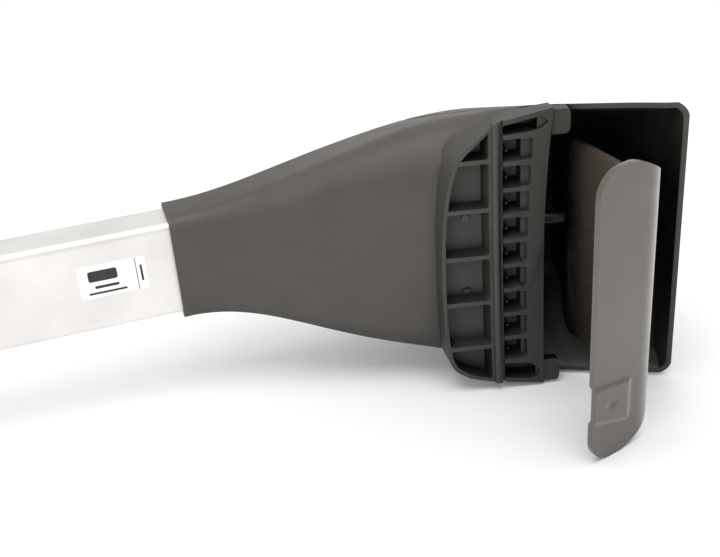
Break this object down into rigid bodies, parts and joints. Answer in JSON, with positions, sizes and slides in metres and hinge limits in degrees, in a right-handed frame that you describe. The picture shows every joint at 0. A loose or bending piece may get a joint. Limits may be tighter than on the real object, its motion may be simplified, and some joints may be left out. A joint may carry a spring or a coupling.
{
  "type": "roof rack crossbar",
  "caption": "Roof rack crossbar with an aluminium bar, clamping feet with ribbed roof pads, steel claws and hinged lockable end covers.",
  "frame": {"origin": "on the bar's axis at mid length", "axes": "+X along the bar, -Y the side that faces the roof, +Z along the car, so the crossbar lies on its side"},
  "size_m": [1.1756, 0.1599, 0.1559],
  "materials": {
    "bar_aluminium": "satin anodised, fine extrusion lines along the bar",
    "strip_rubber": "matte extruded rubber",
    "label_film": "white printed film, no lettering",
    "casing_plastic": "fine moulded grain, matte",
    "cover_plastic": "fine moulded grain outside, smooth dark inside",
    "pad_plastic": "semi-matte moulded thermoplastic elastomer",
    "coated_steel": "black electrocoat",
    "claw_steel": "glossy black electrocoat on pressed sheet",
    "plated_steel": "zinc plated",
    "lock_plastic": "smooth moulded",
    "lock_metal": "turned, lightly polished"
  },
  "bodies": {
    "root": {"bar": "bar_aluminium", "slot_strip": "strip_rubber", "info_label": "label_film", "right_casing": "casing_plastic", "right_roof_pad": "pad_plastic", "right_pad_screws": "coated_steel", "right_bracket": "coated_steel", "right_bar_bolts": "plated_steel", "right_bar_plug": "pad_plastic", "right_captive_nut": "plated_steel", "right_lock_catch": "coated_steel", "right_hinge_pin": "plated_steel", "left_casing": "casing_plastic", "left_roof_pad": "pad_plastic", "left_pad_screws": "coated_steel", "left_bracket": "coated_steel", "left_bar_bolts": "plated_steel", "left_bar_plug": "pad_plastic", "left_captive_nut": "plated_steel", "left_lock_catch": "coated_steel", "left_hinge_pin": "plated_steel"},
    "right_claw_body": {"right_claw": "claw_steel", "right_claw_washer": "plated_steel"},
    "right_bolt_body": {"right_claw_bolt": "coated_steel"},
    "right_cover_body": {"right_cover": "cover_plastic", "right_lock_housing": "lock_plastic"},
    "right_lock_body": {"right_lock_barrel": "lock_metal", "right_lock_tongue": "plated_steel", "right_tongue_screw": "plated_steel"},
    "left_claw_body": {"left_claw": "claw_steel", "left_claw_washer": "plated_steel"},
    "left_bolt_body": {"left_claw_bolt": "coated_steel"},
    "left_cover_body": {"left_cover": "cover_plastic", "left_lock_housing": "lock_plastic"},
    "left_lock_body": {"left_lock_barrel": "lock_metal", "left_lock_tongue": "plated_steel", "left_tongue_screw": "plated_steel"}
  },
  "joints": [
    {"name": "right_claw_slide", "type": "slide", "parent": "root", "child": "right_claw_body", "axis": [0.9659, -0.2588, 0], "range_m": [-0.01, 0.006]},
    {"name": "right_bolt_turn", "type": "hinge", "parent": "right_claw_body", "child": "right_bolt_body", "pos_m": [0.55214, -0.0397, 0], "axis": [0.9659, -0.2588, 0], "range_deg": [-2885, 1735]},
    {"name": "right_cover_hinge", "type": "hinge", "parent": "root", "child": "right_cover_body", "pos_m": [0.474, 0.0095, 0], "axis": [0, 0, 1], "range_deg": [0, 75]},
    {"name": "right_lock_turn", "type": "hinge", "parent": "right_cover_body", "child": "right_lock_body", "pos_m": [0.515, 0.0145, 0], "axis": [0, -1, 0], "range_deg": [0, 90]},
    {"name": "left_claw_slide", "type": "slide", "parent": "root", "child": "left_claw_body", "axis": [-0.9659, -0.2588, 0], "range_m": [-0.01, 0.006]},
    {"name": "left_bolt_turn", "type": "hinge", "parent": "left_claw_body", "child": "left_bolt_body", "pos_m": [-0.55214, -0.0397, 0], "axis": [-0.9659, -0.2588, 0], "range_deg": [-2885, 1735]},
    {"name": "left_cover_hinge", "type": "hinge", "parent": "root", "child": "left_cover_body", "pos_m": [-0.474, 0.0095, 0], "axis": [0, 0, -1], "range_deg": [0, 75]},
    {"name": "left_lock_turn", "type": "hinge", "parent": "left_cover_body", "child": "left_lock_body", "pos_m": [-0.515, 0.0145, 0], "axis": [0, 1, 0], "range_deg": [0, 90]}
  ],
  "couplings": [
    {"joint": "right_bolt_turn", "follows": "right_claw_slide", "rad_per_m": 5026.5},
    {"joint": "left_bolt_turn", "follows": "left_claw_slide", "rad_per_m": 5026.5}
  ]
}
